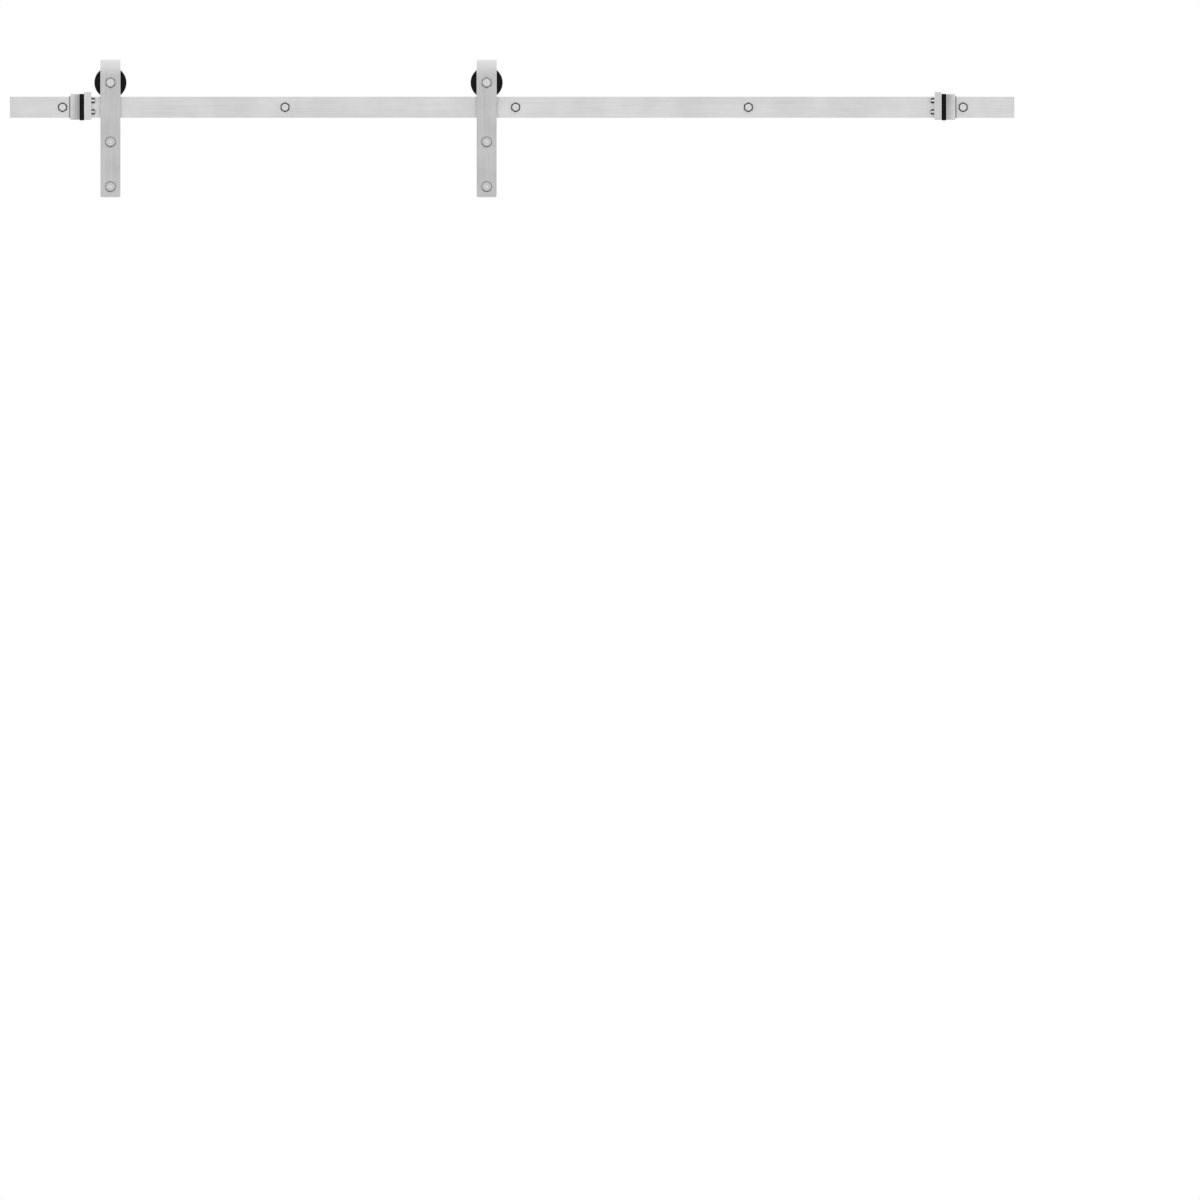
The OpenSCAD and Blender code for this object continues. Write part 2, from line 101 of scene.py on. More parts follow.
# %% A socket that can be calculated with
class Wire:
    def __init__(self, tree, socket=None):
        self.tree = tree
        self.socket = socket

    def node(self, kind, settings, inputs, output=0):
        made = self.tree.nodes.new(kind)
        for name, value in settings.items():
            if name == "stops":
                set_stops(made.color_ramp, value)
            else:
                setattr(made, name, value)
        for name, value in inputs.items():
            if isinstance(value, Wire):
                self.tree.links.new(value.socket, made.inputs[name])
            else:
                made.inputs[name].default_value = value
        return Wire(self.tree, made.outputs[output])

    def math(self, operation, first, second=0.0):
        return self.node("ShaderNodeMath", {"operation": operation}, {0: first, 1: second})

    def __add__(self, other):
        return self.math("ADD", self, other)

    def __radd__(self, other):
        return self.math("ADD", other, self)

    def __sub__(self, other):
        return self.math("SUBTRACT", self, other)

    def __rsub__(self, other):
        return self.math("SUBTRACT", other, self)

    def __mul__(self, other):
        return self.math("MULTIPLY", self, other)

    def __rmul__(self, other):
        return self.math("MULTIPLY", other, self)

    def __abs__(self):
        return self.math("ABSOLUTE", self)


def set_stops(ramp, stops):
    while len(ramp.elements) < len(stops):
        ramp.elements.new(1.0)
    for element, (place, level) in zip(ramp.elements, stops):
        element.position = place
        element.color = (level, level, level, 1.0)


def grey(level):
    return (level, level, level, 1.0)


def mix_colours(amount, first, second):
    return amount.node("ShaderNodeMix", {"data_type": "RGBA"}, {0: amount, 6: first, 7: second}, 2)


def stretch(vector, x, y, z):
    return vector.node("ShaderNodeVectorMath", {"operation": "MULTIPLY"}, {0: vector, 1: (x, y, z)})


def noise(vector, scale, detail=2.0):
    return vector.node("ShaderNodeTexNoise", {}, {"Vector": vector, "Scale": scale, "Detail": detail})


def rise(value, low, high, start=0.0, end=1.0):
    return value.node("ShaderNodeMapRange", {}, {0: value, 1: low, 2: high, 3: start, 4: end})


# %% [markdown]
# ## Studio light
# Steel looks like what stands around it. Seen by the camera the world is plain white. Seen in a
# reflection it is a white room with a dark floor, which is what draws the lower edges of bolt heads.
# Soft light for the matt pieces comes from a weaker even world and one large lamp, at a level where a
# colour comes out about as it is written. The lamp isn't mirrored in the steel, where it would show
# as a hot patch.

# %% World
SOFT_LEVEL = 0.72
ROOM_STOPS = [(0.0, 0.42), (0.14, 0.46), (0.36, 0.86), (0.47, 1.0), (0.9, 1.0), (1.0, 0.95)]
world = bpy.data.worlds.new("studio")
bpy.context.scene.world = world
world.use_nodes = True
sky = Wire(world.node_tree)
direction = sky.node("ShaderNodeTexCoord", {}, {}, "Generated")
height = direction.node("ShaderNodeSeparateXYZ", {}, {0: direction}, 2)
room = sky.node("ShaderNodeValToRGB", {"stops": ROOM_STOPS}, {0: height * 0.5 + 0.5})
path = sky.node("ShaderNodeLightPath", {}, {}, "Is Camera Ray")
light_path = path.socket.node
mirrored = Wire(world.node_tree, light_path.outputs["Is Glossy Ray"])
through = Wire(world.node_tree, light_path.outputs["Is Transmission Ray"])
reflected = mix_colours(mirrored, grey(SOFT_LEVEL), room)
shown = mix_colours(path.math("MAXIMUM", path, through), reflected, grey(1.0))
world.node_tree.links.new(shown.socket, world.node_tree.nodes["Background"].inputs["Color"])
print("soft light level", SOFT_LEVEL)

# %% Lamp
LAMP_SIZE = 3.2
LAMP_WATTS = 52
LAMP_PLACE = Vector((-1.6, -3.0, 2.6))
bpy.ops.object.light_add(type="AREA", location=LAMP_PLACE)
lamp = bpy.context.object
lamp.data.energy = LAMP_WATTS
lamp.data.size = LAMP_SIZE
lamp.visible_glossy = False
lamp.rotation_euler = (-LAMP_PLACE).to_track_quat("-Z", "Y").to_euler()
print("lamp at", tuple(round(side, 2) for side in lamp.location))

# %% [markdown]
# ## Floor
# The rail hangs at the height of a door's top edge, so the floor lies 2.2 m below it. The camera sees it
# almost white, while the shadow that falls on it still shows.

# %% Floor
FLOOR_Z = -2.2
FLOOR_SIZE = 60
FLOOR_WHITENESS = 0.8
bpy.ops.mesh.primitive_plane_add(size=FLOOR_SIZE, location=(0, 0, FLOOR_Z))
floor = bpy.context.object
floor.name = "floor"
floor.visible_glossy = False
floor_paint = bpy.data.materials.new("floor_paint")
floor_paint.use_nodes = True
floor_start = Wire(floor_paint.node_tree)
matt = floor_start.node("ShaderNodeBsdfDiffuse", {}, {"Color": grey(0.86)})
white = floor_start.node("ShaderNodeEmission", {}, {"Color": grey(1.0)})
seen = floor_start.node("ShaderNodeLightPath", {}, {}, "Is Camera Ray") * FLOOR_WHITENESS
floor_mix = floor_start.node("ShaderNodeMixShader", {}, {0: seen, 1: matt, 2: white})
floor_paint.node_tree.links.new(
    floor_mix.socket, floor_paint.node_tree.nodes["Material Output"].inputs["Surface"]
)
floor.data.materials.append(floor_paint)
floor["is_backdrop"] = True
print("floor", FLOOR_Z, "m")

# %% [markdown]
# ## Modelling by hand, in code
# Every Blender operator works on what is selected. These helpers say what that is: which object is
# active, and which corners, edges or faces of it are picked, by their place. The loaded CAD nodes start
# out selected, so everything is deselected before anything is added.


# %% Selecting
def deselect_all():
    if bpy.context.object and bpy.context.object.mode != "OBJECT":
        bpy.ops.object.mode_set(mode="OBJECT")
    bpy.ops.object.select_all(action="DESELECT")


def work_on(piece):
    deselect_all()
    piece.select_set(True)
    bpy.context.view_layer.objects.active = piece


def edit(piece):
    work_on(piece)
    bpy.ops.object.mode_set(mode="EDIT")


def pick(piece, kind, test):
    bpy.ops.mesh.select_mode(type=kind)
    bpy.ops.mesh.select_all(action="DESELECT")
    mesh = bmesh.from_edit_mesh(piece.data)
    parts = {"VERT": mesh.verts, "EDGE": mesh.edges, "FACE": mesh.faces}[kind]
    chosen = [part for part in parts if test(part)]
    for part in chosen:
        part.select_set(True)
    bmesh.update_edit_mesh(piece.data)
    return len(chosen)


def place_in_mesh(piece):
    work_on(piece)
    bpy.ops.object.transform_apply(location=True, rotation=True, scale=True)
    return piece


def apply_modifier(piece, kind, **settings):
    modifier = piece.modifiers.new(kind.lower(), kind)
    for name, value in settings.items():
        setattr(modifier, name, value)
    work_on(piece)
    bpy.ops.object.modifier_apply(modifier=modifier.name)


# %% [markdown]
# ## Blocks, bars and lathe work
# Most hardware starts as flat bar, round bar or hexagon bar. A block is a cube at its size and place. A
# bar is a cylinder laid along an axis, and six sides make it a hexagon bar. A turned piece is an outline,
# one corner extruded from point to point, spun once round its axis, as on a lathe.

# %% Stock shapes
ALONG = {"X": Vector((1, 0, 0)), "Y": Vector((0, 1, 0)), "Z": Vector((0, 0, 1))}
OUTWARD = {"X": Vector((0, 0, 1)), "Y": Vector((1, 0, 0)), "Z": Vector((1, 0, 0))}
LAID = {"X": (0, math.radians(90), 0), "Y": (math.radians(90), 0, 0), "Z": (0, 0, 0)}


def add_block(low, high):
    deselect_all()
    bpy.ops.mesh.primitive_cube_add(size=1, location=(low + high) / 2, scale=high - low)
    return place_in_mesh(bpy.context.object)


def add_bar(centre, axis, radius, start, end, sides=96):
    deselect_all()
    middle = centre + ALONG[axis] * ((start + end) / 2 - centre.dot(ALONG[axis]))
    bpy.ops.mesh.primitive_cylinder_add(
        vertices=sides, radius=radius, depth=abs(end - start), location=middle, rotation=LAID[axis]
    )
    return place_in_mesh(bpy.context.object)


def on_axis(centre, axis, radius, along):
    return centre + OUTWARD[axis] * radius + ALONG[axis] * (along - centre.dot(ALONG[axis]))


def turn(centre, axis, outline, steps=96, fine=None):
    points = [on_axis(centre, axis, radius, along) for radius, along in outline]
    deselect_all()
    bpy.ops.mesh.primitive_plane_add(size=MM, location=points[0])
    piece = place_in_mesh(bpy.context.object)
    bpy.ops.object.mode_set(mode="EDIT")
    bpy.ops.mesh.select_mode(type="VERT")
    bpy.ops.mesh.select_all(action="SELECT")
    bpy.ops.mesh.merge(type="CENTER")
    for here, there in zip(points, points[1:]):
        bpy.ops.mesh.extrude_region_move(TRANSFORM_OT_translate={"value": there - here})
    for start, end, cuts in fine or []:
        pick(piece, "EDGE", lambda edge: is_stretch(edge, axis, start, end))
        bpy.ops.mesh.subdivide(number_cuts=cuts)
    bpy.ops.mesh.select_mode(type="VERT")
    bpy.ops.mesh.select_all(action="SELECT")
    bpy.ops.mesh.spin(steps=steps, angle=math.tau, center=centre, axis=ALONG[axis], use_auto_merge=True)
    bpy.ops.mesh.select_all(action="SELECT")
    bpy.ops.mesh.remove_doubles(threshold=0.0005 * MM)
    bpy.ops.mesh.normals_make_consistent(inside=False)
    bpy.ops.object.mode_set(mode="OBJECT")
    return piece


def is_stretch(edge, axis, start, end):
    reach = sorted(corner.co.dot(ALONG[axis]) for corner in edge.verts)
    return abs(reach[0] - start) < 0.01 * MM and abs(reach[1] - end) < 0.01 * MM


def arc(centre_r, centre_along, radius, start, end, count=6):
    turns = [math.radians(start + (end - start) * i / count) for i in range(count + 1)]
    return [(centre_r + radius * math.cos(a), centre_along + radius * math.sin(a)) for a in turns]


# %% [markdown]
# ## Cutting, easing and shading
# Holes, windows and sockets are cut with a Boolean and a bar of the right size, as with a drill or a
# broach. No real edge is sharp, so a Bevel breaks each one. The faces it makes are marked with the
# attribute "eased", because handling polishes edges, and weighted normals keep the flats flat.


# %% Cutting and finishing
def close_seams(piece):
    edit(piece)
    bpy.ops.mesh.select_mode(type="VERT")
    bpy.ops.mesh.select_all(action="SELECT")
    bpy.ops.mesh.remove_doubles(threshold=0.003 * MM)
    bpy.ops.mesh.dissolve_degenerate(threshold=0.001 * MM)
    bpy.ops.mesh.select_all(action="DESELECT")
    bpy.ops.mesh.select_non_manifold(use_wire=False, use_multi_face=False, use_non_contiguous=False)
    bpy.ops.mesh.fill_holes(sides=12)
    bpy.ops.object.mode_set(mode="OBJECT")


def cut(piece, tool, operation="DIFFERENCE"):
    apply_modifier(piece, "BOOLEAN", operation=operation, object=tool, solver="EXACT")
    bpy.data.objects.remove(tool)
    close_seams(piece)


def ease_edges(piece, width, segments=2, angle=38):
    work_on(piece)
    while len(piece.data.materials) < 2:
        piece.data.materials.append(None)
    apply_modifier(
        piece, "BEVEL", width=width, segments=segments, limit_method="ANGLE",
        angle_limit=math.radians(angle), material=1,
    )
    eased = piece.data.attributes.new("eased", "FLOAT", "FACE")
    for face in piece.data.polygons:
        eased.data[face.index].value = float(face.material_index == 1)
        face.material_index = 0
    piece.data.materials.clear()


def shade(piece, angle=32, flats=True):
    work_on(piece)
    bpy.ops.object.shade_smooth_by_angle(angle=math.radians(angle))
    if flats:
        apply_modifier(piece, "WEIGHTED_NORMAL", keep_sharp=True, weight=50)


def mark_axis(piece, centre, axis):
    mark = piece.data.attributes.new("from_axis", "FLOAT_VECTOR", "POINT")
    side = OUTWARD[axis]
    other = ALONG[axis].cross(side)
    for corner in piece.data.vertices:
        offset = corner.co - centre
        mark.data[corner.index].vector = (offset.dot(side), offset.dot(ALONG[axis]), offset.dot(other))


def join(*pieces):
    work_on(pieces[0])
    for piece in pieces[1:]:
        piece.select_set(True)
    bpy.ops.object.join()
    return pieces[0]


def copy_to(piece, offset):
    work_on(piece)
    bpy.ops.object.duplicate()
    made = bpy.context.object
    bpy.ops.transform.translate(value=offset)
    return place_in_mesh(made)


def stand_for(piece, name, slot, finish, *nodes):
    piece.name = name
    piece.data.name = name
    piece.data.materials.clear()
    piece.data.materials.append(finish)
    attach(piece, body_of_node[nodes[0]])
    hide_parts(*nodes)
    triangles = sum(len(face.vertices) - 2 for face in piece.data.polygons)
    print(name, "for", ", ".join(nodes), "-", triangles, "triangles")
    return piece


# %% [markdown]
# ## Brushed stainless
# The rail and straps are flat bar drawn under an abrasive belt: broad soft bands, and hairlines finer
# than a tenth of a millimetre, all running along the bar. Noise squeezed across the grain and stretched
# along it gives both, and the hairlines also feed a Bump. Handling adds slow patches and paler edges.


# %% Brushed finish
def start_finish(name, **constants):
    finish = bpy.data.materials.new(name)
    finish.use_nodes = True
    shader = finish.node_tree.nodes["Principled BSDF"]
    for socket, value in constants.items():
        shader.inputs[socket.replace("_", " ")].default_value = value
    return finish, Wire(finish.node_tree)


def feed(finish, wires):
    shader = finish.node_tree.nodes["Principled BSDF"]
    for socket, wire in wires.items():
        finish.node_tree.links.new(wire.socket, shader.inputs[socket])


def bump(height, strength, depth):
    return height.node("ShaderNodeBump", {}, {"Strength": strength, "Distance": depth, "Height": height})


def painted_mark(start, name, output="Fac"):
    return start.node("ShaderNodeAttribute", {"attribute_name": name}, {}, output)


def brushed_finish(name, grain, dark, light, rough, rubber_shade=0.0, bend_highlight=0.0):
    along, across = 11.0, 260.0
    coarse = [along if letter in grain else across for letter in "XYZ"]
    fine = [along * 5 if letter in grain else across * 8 for letter in "XYZ"]
    finish, start = start_finish(name, Metallic=1.0)
    place = start.node("ShaderNodeTexCoord", {}, {}, "Object")
    bands = rise(noise(stretch(place, *coarse), 1.0, 3.0), 0.3, 0.7)
    hairlines = rise(noise(stretch(place, *fine), 1.0, 2.0), 0.28, 0.72)
    patches = rise(noise(place, 14.0, 3.0), 0.35, 0.65)
    smears = rise(noise(stretch(place, 40.0, 40.0, 90.0), 1.0, 3.0), 0.55, 0.75)
    edges = painted_mark(start, "eased")
    tone = bands * 0.4 + hairlines * 0.25 + patches * 0.35
    metal = mix_colours(tone, grey(dark), grey(light))
    # painted shade: the block is darkened towards the rubber buffer, where shade falls between the parts
    if rubber_shade:
        mark = painted_mark(start, "from_axis", "Vector")
        from_rubber = abs(mark.node("ShaderNodeSeparateXYZ", {}, {0: mark}, 1))
        painted_shade_near_rubber = rise(from_rubber + patches * 5 * MM, 17 * MM, 2 * MM)
        metal = mix_colours(painted_shade_near_rubber * rubber_shade, metal, grey(dark * 0.35))
    # painted highlight: the top of the bend is mixed towards pale grey, where the light from above falls on it
    if bend_highlight:
        height = place.node("ShaderNodeSeparateXYZ", {}, {0: place}, 2)
        metal = mix_colours(rise(height, 62 * MM, 94 * MM), metal, grey(bend_highlight))
    worn = mix_colours(edges * 0.6, metal, grey(min(1.0, light * 1.2)))
    feed(finish, {
        "Base Color": worn,
        "Roughness": rough + bands * 0.07 + smears * 0.06 - edges * 0.08,
        "Normal": bump(hairlines * 0.6 + bands * 0.4, 0.22, 0.06 * MM),
    })
    return finish


rail_finish = brushed_finish("brushed_rail", "X", 0.62, 0.79, 0.30)
strap_finish = brushed_finish("brushed_strap", "YZ", 0.48, 0.65, 0.32, bend_highlight=0.8)
# the two block finishes are copies that differ in painted shade; the left one is a little darker and has more shade
# by its buffer
left_block_finish = brushed_finish("satin_block_left", "Z", 0.56, 0.72, 0.28, rubber_shade=0.85)
right_block_finish = brushed_finish("satin_block_right", "Z", 0.6, 0.74, 0.28, rubber_shade=0.6)
block_finishes = {"left": left_block_finish, "right": right_block_finish}
strike_finish = brushed_finish("satin_strike", "Z", 0.58, 0.72, 0.26)
print("brushed finishes:", rail_finish.name, strap_finish.name, strike_finish.name, len(block_finishes))

# %% [markdown]
# ## Turned steel
# Spacers, bushes, washers and bolt heads are faced on a lathe, which leaves rings about their own axis.
# The attribute "from_axis" gives each point's offset from that axis, so the rings stay centred on each
# piece. Bolt flanks are darker than the face that points along the axis, which is bright: partly a forged
# skin, and partly painted shade round the heads, which makes the wall screws' flanks nearly black.


# %% Turned finish
def ring_place(start):
    offset = painted_mark(start, "from_axis", "Vector")
    flat = stretch(offset, 1.0, 0.0, 1.0)
    radius = flat.node("ShaderNodeVectorMath", {"operation": "LENGTH"}, {0: flat}, "Value")
    along = offset.node("ShaderNodeSeparateXYZ", {}, {0: offset}, 1)
    rings = start.node("ShaderNodeCombineXYZ", {}, {0: radius * 2600.0, 1: along * 1500.0})
    return radius, along, rings, offset


def facing(start, axis):
    normal = start.node("ShaderNodeTexCoord", {}, {}, "Normal")
    part = normal.node("ShaderNodeSeparateXYZ", {}, {0: normal}, "XYZ".index(axis))
    return rise(abs(part), 0.93, 0.985)


def turned_finish(name, axis, flank, face, rough):
    finish, start = start_finish(name, Metallic=1.0)
    radius, along, rings, offset = ring_place(start)
    marks = rise(noise(rings, 1.0, 2.0), 0.3, 0.7)
    spots = rise(noise(offset, 420.0, 3.0), 0.35, 0.7)
    end = facing(start, axis)
    edges = painted_mark(start, "eased")
    flank_skin_and_shade = mix_colours(spots, grey(flank * 0.8), grey(flank * 1.1))
    faced = mix_colours(marks, grey(face * 0.9), grey(face * 1.06))
    metal = mix_colours(end, flank_skin_and_shade, faced)
    feed(finish, {
        "Base Color": mix_colours(edges * 0.35, metal, grey(face)),
        "Roughness": rough + spots * 0.1 + (1 - end) * 0.06,
        "Normal": bump(marks * end + spots * 0.5, 0.2, 0.04 * MM),
    })
    return finish


spacer_finish = turned_finish("turned_spacer", "Y", 0.58, 0.62, 0.26)
washer_finish = turned_finish("washer_steel", "Y", 0.42, 0.6, 0.28)
# painted shade: the wall washers are nearly black and stand for the shade ring round each wall screw head
wall_washer_shade_finish = turned_finish("washer_painted_shade", "Y", 0.05, 0.06, 0.4)
# painted shade: the wall screws' flanks and chamfers are nearly black, standing for the shade round the head
lag_screw_finish = turned_finish("lag_screw_steel", "Y", 0.05, 0.7, 0.24)
bolt_finish = turned_finish("bolt_steel", "Y", 0.27, 0.68, 0.22)
door_screw_finish = turned_finish("door_screw_steel", "Y", 0.3, 0.7, 0.2)
set_screw_finish = turned_finish("set_screw_steel", "Z", 0.2, 0.34, 0.3)
race_finish = turned_finish("ground_race", "Y", 0.62, 0.68, 0.12)
shield_finish = turned_finish("pressed_shield", "Y", 0.4, 0.45, 0.3)
print("turned finishes made")

# %% [markdown]
# ## Blackened cap screws
# The stops' cap screws are blackened steel, and their heads stand proud of the strike plate. A painted
# highlight makes the side of each head that looks into the room bright metal: the way that a surface
# faces picks out that side, and noise frays its edge.


# %% Cap screw finish
def black_with_painted_highlight():
    finish, start = start_finish("blackened_screw", Specular_IOR_Level=0.2)
    normal = start.node("ShaderNodeTexCoord", {}, {}, "Normal")
    out_of_wall = start.node("ShaderNodeSeparateXYZ", {}, {0: normal}, 1) * -1.0
    radius, along, rings, offset = ring_place(start)
    fray = rise(noise(offset, 500.0, 3.0), 0.3, 0.7)
    # painted highlight: the side that faces out of the wall is bright metal, the rest stays black
    painted_highlight_band = rise(out_of_wall + fray * 0.03, 0.94, 0.985)
    feed(finish, {
        "Base Color": mix_colours(painted_highlight_band, grey(0.006), grey(0.9)),
        "Metallic": painted_highlight_band,
        "Roughness": 0.3 - painted_highlight_band * 0.12 + fray * 0.08,
        "Normal": bump(fray, 0.15, 0.03 * MM),
    })
    return finish


cap_screw_finish = black_with_painted_highlight()
print("cap screw finish made")


# %% [markdown]
# ## Nylon, rubber, balls and cage
# The rollers are black nylon turned to size: fine rings on the faces, and a groove floor that the rail
# has rubbed smooth and slightly grey. The rubber is matt with a pebbly skin. Balls are polished all
# over, and the cage that keeps them apart is plain moulded plastic.


# %% Black finishes
def nylon_finish(tread_radius, groove_half):
    finish, start = start_finish("black_nylon", Specular_IOR_Level=0.14)
    radius, along, rings, offset = ring_place(start)
    marks = rise(noise(rings, 0.8, 2.0), 0.3, 0.7)
    dust = rise(noise(offset, 160.0, 4.0), 0.5, 0.75)
    in_groove = rise(radius, tread_radius + 2.5 * MM, tread_radius + 1.0 * MM)
    near_middle = rise(abs(along), groove_half + 0.8 * MM, groove_half)
    tread = in_groove * near_middle
    body = mix_colours(dust * 0.5, grey(0.004), grey(0.016))
    feed(finish, {
        "Base Color": mix_colours(tread * 0.7, body, grey(0.07)),
        "Roughness": 0.38 + marks * 0.1 + dust * 0.12 - tread * 0.16,
        "Normal": bump(marks, 0.25, 0.05 * MM),
    })
    return finish


def rubber_finish():
    finish, start = start_finish("black_rubber", Specular_IOR_Level=0.12)
    place = start.node("ShaderNodeTexCoord", {}, {}, "Object")
    pebbles = noise(place, 1400.0, 2.0)
    bloom = rise(noise(place, 90.0, 4.0), 0.45, 0.75)
    feed(finish, {
        "Base Color": mix_colours(bloom, grey(0.003), grey(0.009)),
        "Roughness": 0.62 + bloom * 0.15,
        "Normal": bump(pebbles, 0.35, 0.08 * MM),
    })
    return finish


def ball_finish():
    finish, start = start_finish("polished_balls", Metallic=1.0)
    place = start.node("ShaderNodeTexCoord", {}, {}, "Object")
    haze = rise(noise(place, 700.0, 3.0), 0.4, 0.7)
    feed(finish, {
        "Base Color": mix_colours(haze, grey(0.66), grey(0.72)),
        "Roughness": 0.05 + haze * 0.06,
    })
    return finish


def cage_finish():
    finish, start = start_finish("cage_plastic")
    place = start.node("ShaderNodeTexCoord", {}, {}, "Object")
    flow = rise(noise(stretch(place, 120.0, 40.0, 120.0), 1.0, 4.0), 0.35, 0.7)
    feed(finish, {
        "Base Color": mix_colours(flow, (0.42, 0.29, 0.15, 1.0), (0.55, 0.4, 0.23, 1.0)),
        "Roughness": 0.42 + flow * 0.14,
        "Normal": bump(flow, 0.2, 0.05 * MM),
    })
    return finish


rubber = rubber_finish()
balls = ball_finish()
cage = cage_finish()
print("black finishes made")

# %% [markdown]
# ## Rail
# The rail is flat bar with five drilled holes. A block at the CAD size is drilled with a Boolean for
# each hole, and one Bevel then breaks the bar's long edges and the rims of its holes together.

# %% Rail
HOLE_R = 5.25 * MM
OVER = 2 * MM
rail_low, rail_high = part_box("rail")
rail_mid_y = (rail_low.y + rail_high.y) / 2
wall_screws = ["wall_screw_%d" % number for number in range(1, 6)]


def middle(node):
    low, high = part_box(node)
    return (low + high) / 2


def axis_of(node):
    centre = middle(node)
    centre.y = 0
    return centre


wall_axes = [axis_of(name) for name in wall_screws]
rail = add_block(rail_low, rail_high)
for axis_point in wall_axes:
    cut(rail, add_bar(axis_point, "Y", HOLE_R, rail_low.y - OVER, rail_high.y + OVER, 64))
ease_edges(rail, 0.55 * MM, 3)
shade(rail)
stand_for(rail, "rail_bar", "brushed_stainless", rail_finish, "rail")

# %% [markdown]
# ## Hexagon heads and threads
# A hexagon head is hexagon bar with its corners turned off at 30 degrees, so a hexagon is intersected
# with a blunt cone. A thread is a groove that climbs one pitch in each turn. A fine lathe mesh is made
# first, and its rings are then pulled in by a wave that follows height and angle together. It fades out
# at the shank, as a rolled thread does.


# %% Heads and threads
def add_hexagon(centre, axis, across_flats, start, end):
    return add_bar(centre, axis, across_flats / math.sqrt(3), start, end, 6)


def chamfer_cone(centre, axis, across_flats, front, back, both_ends):
    corner = across_flats / math.sqrt(3)
    rim = across_flats / 2 - 1.7 * MM
    slope = math.tan(math.radians(30))
    run_out = OVER * slope
    wide = corner + OVER
    outline = [(0, front), (rim, front), (wide, front + (corner - rim) * slope + run_out)]
    if both_ends:
        outline += [(wide, back - (corner - rim) * slope - run_out), (rim, back), (0, back)]
    else:
        outline += [(wide, back + OVER), (0, back + OVER)]
    return turn(centre, axis, outline, 72)


def hexagon_head(centre, across_flats, front, back, both_ends=False):
    head = add_hexagon(centre, "Y", across_flats, front, back)
    edit(head)
    pick(head, "EDGE", lambda edge: abs(edge.verts[0].co.y - edge.verts[1].co.y) > OVER)
    bpy.ops.mesh.bevel(offset=0.35 * MM, segments=3, affect="EDGES")
    bpy.ops.object.mode_set(mode="OBJECT")
    cut(head, chamfer_cone(centre, "Y", across_flats, front, back, both_ends), "INTERSECT")
    return head


def cut_thread(piece, centre, start, end, pitch, root_share, fade):
    for corner in piece.data.vertices:
        along = corner.co.y
        offset = corner.co - centre
        offset.y = 0
        if start < along < end and offset.length > 0.1 * MM:
            turn_share = math.atan2(offset.x, offset.z) / math.tau
            wave = abs(2 * ((along / pitch - turn_share) % 1.0) - 1)
            crest = min(1.0, max(0.0, (wave - 0.3) / 0.6))
            depth = (1 - root_share) * (1 - crest) * min(1.0, (along - start) / fade, (end - along) / fade)
            corner.co = corner.co - offset * depth


def socket_cut(piece, centre, axis, across_flats, mouth, floor_at):
    out = math.copysign(OVER, mouth - floor_at)
    cut(piece, add_hexagon(centre, axis, across_flats, min(mouth + out, floor_at), max(mouth + out, floor_at)))
    corner = across_flats / math.sqrt(3)
    lead = math.copysign(0.5 * MM, out)
    cone = [(0, mouth - lead), (corner - 0.35 * MM, mouth - lead), (corner + 0.35 * MM, mouth + lead)]
    cut(piece, turn(centre, axis, cone + [(0, mouth + lead)], 48))


# %% [markdown]
# ## Wall screws, washers and spacers
# Each wall fixing is a lag screw: hexagon head, plain shank through rail and spacer, and a coarse
# tapering thread for the stud behind the wall. One is modelled and four are copied along the rail.

# %% Wall screws
LAG_AF = 17 * MM
LAG_SHANK_R = 5 * MM
LAG_THREAD_R = 4.75 * MM
LAG_PITCH = 4.5 * MM
LAG_POINT = 9 * MM
LAG_ROWS = 12
screw_low, screw_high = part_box(wall_screws[0])
washer_low, washer_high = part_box("wall_washer_1")
thread_end = screw_high.y - LAG_POINT
first = wall_axes[0]
lag_outline = [
    (0, washer_low.y - 3 * MM), (LAG_SHANK_R, washer_low.y - 3 * MM), (LAG_SHANK_R, -0.6 * MM),
    (LAG_THREAD_R, 0), (LAG_THREAD_R, thread_end), (0.5 * MM, screw_high.y - 0.3 * MM), (0, screw_high.y),
]
lag_rows = round(thread_end / LAG_PITCH * LAG_ROWS)
tip_rows = round(LAG_POINT / LAG_PITCH * LAG_ROWS)
lag = turn(first, "Y", lag_outline, 48, [
    (0, thread_end, lag_rows), (thread_end, screw_high.y - 0.3 * MM, tip_rows),
])
cut_thread(lag, first, 0, screw_high.y - 0.3 * MM, LAG_PITCH, 0.7, 4 * MM)
lag_head = hexagon_head(first, LAG_AF, screw_low.y, washer_low.y)
cut(lag_head, lag, "UNION")
mark_axis(lag_head, first, "Y")
shade(lag_head, 30)


def place_at_walls(piece, name, slot, finish, node):
    copies = [copy_to(piece, axis_point - first) for axis_point in wall_axes[1:]]
    for number, made in enumerate([piece] + copies, start=1):
        stand_for(made, "%s_%d" % (name, number), slot, finish, "%s_%d" % (node, number))


place_at_walls(lag_head, "lag_screw", "screw_stainless", lag_screw_finish, "wall_screw")

# %% Washers and spacers
SPACER_EASE = 0.8 * MM


def turned_ring(centre, axis, inner, outer, start, end, ease, steps=96):
    ring = turn(centre, axis, [(inner, start), (outer, start), (outer, end), (inner, end), (inner, start)], steps)
    ease_edges(ring, ease, 3)
    mark_axis(ring, centre, axis)
    shade(ring)
    return ring


washer_r = (washer_high.x - washer_low.x) / 2
washer = turned_ring(first, "Y", HOLE_R, washer_r, washer_low.y, washer_high.y, 0.25 * MM)
place_at_walls(washer, "lag_washer", "screw_stainless", wall_washer_shade_finish, "wall_washer")
spacer_low, spacer_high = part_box("wall_spacer_1")
spacer_r = (spacer_high.x - spacer_low.x) / 2
spacer = turned_ring(first, "Y", HOLE_R, spacer_r, spacer_low.y, spacer_high.y, SPACER_EASE)
place_at_walls(spacer, "spacer_tube", "turned_stainless", spacer_finish, "wall_spacer")

